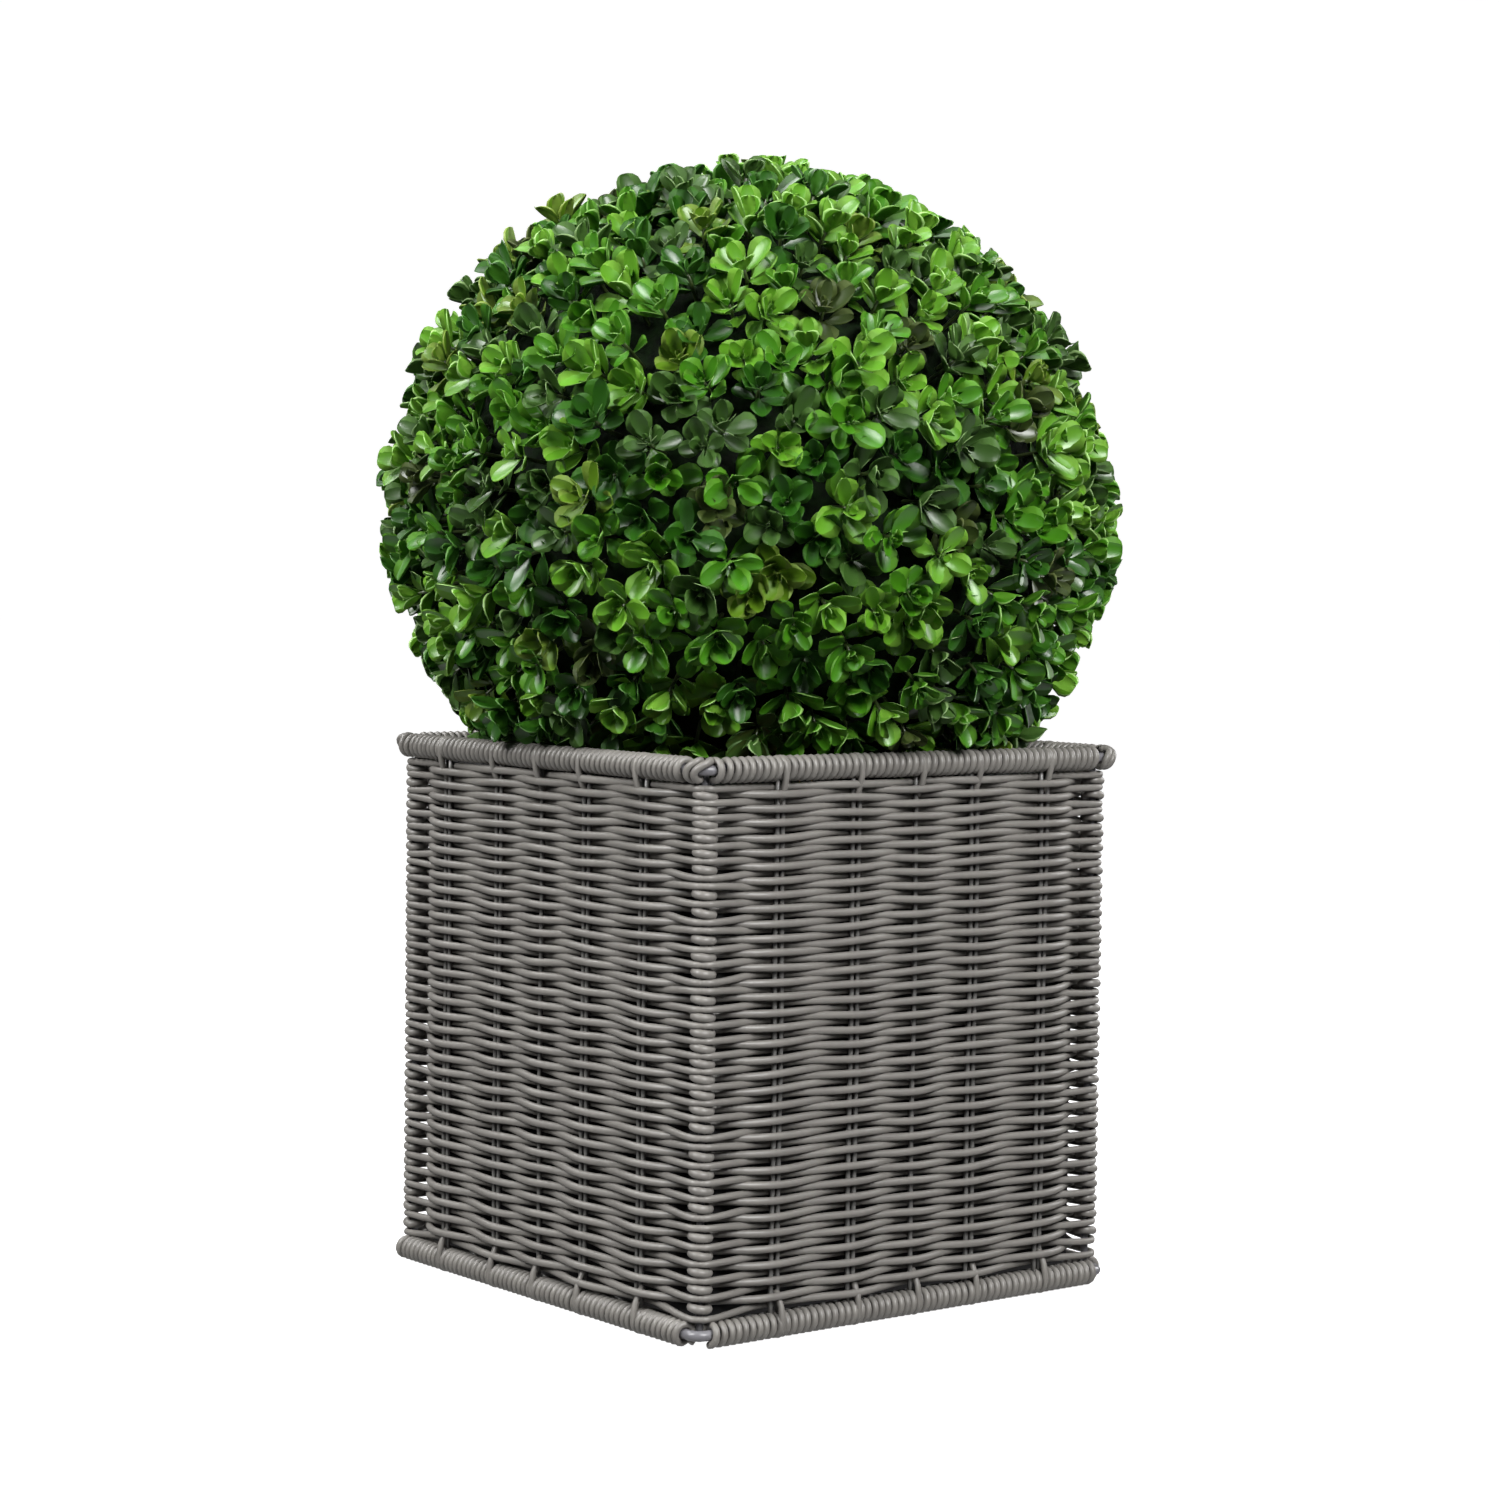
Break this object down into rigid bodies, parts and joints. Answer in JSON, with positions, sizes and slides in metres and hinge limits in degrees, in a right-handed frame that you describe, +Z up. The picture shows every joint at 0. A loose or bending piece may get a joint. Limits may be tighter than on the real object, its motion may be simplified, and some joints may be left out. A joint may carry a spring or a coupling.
{
  "type": "artificial box topiary ball in a wicker planter",
  "caption": "Artificial clipped box topiary ball on a hidden stem, set in coir in a square woven cane planter with a steel rod frame.",
  "frame": {"origin": "centre of the flat underside of the planter's base", "axes": "+Z up, -Y out of the planter's front wall, +X out of its right wall"},
  "size_m": [0.3456, 0.3456, 0.5308],
  "materials": {
    "cane": "satin",
    "rod": "satin",
    "liner": "matte",
    "coir": "matte",
    "stem": "matte",
    "leaf": "satin"
  },
  "bodies": {
    "root": {"base_panel": "cane", "lower_rod": "rod", "upper_rod": "rod", "lower_binding_front": "cane", "lower_binding_right": "cane", "lower_binding_back": "cane", "lower_binding_left": "cane", "upper_binding_front": "cane", "upper_binding_right": "cane", "upper_binding_back": "cane", "upper_binding_left": "cane", "wall_front": "cane", "wall_right": "cane", "wall_back": "cane", "wall_left": "cane", "corner_post_front_right": "cane", "corner_post_back_right": "cane", "corner_post_back_left": "cane", "corner_post_front_left": "cane", "liner": "liner", "coir_fill": "coir", "stem": "stem", "foliage_lower": "leaf", "foliage_upper": "leaf"}
  },
  "joints": []
}
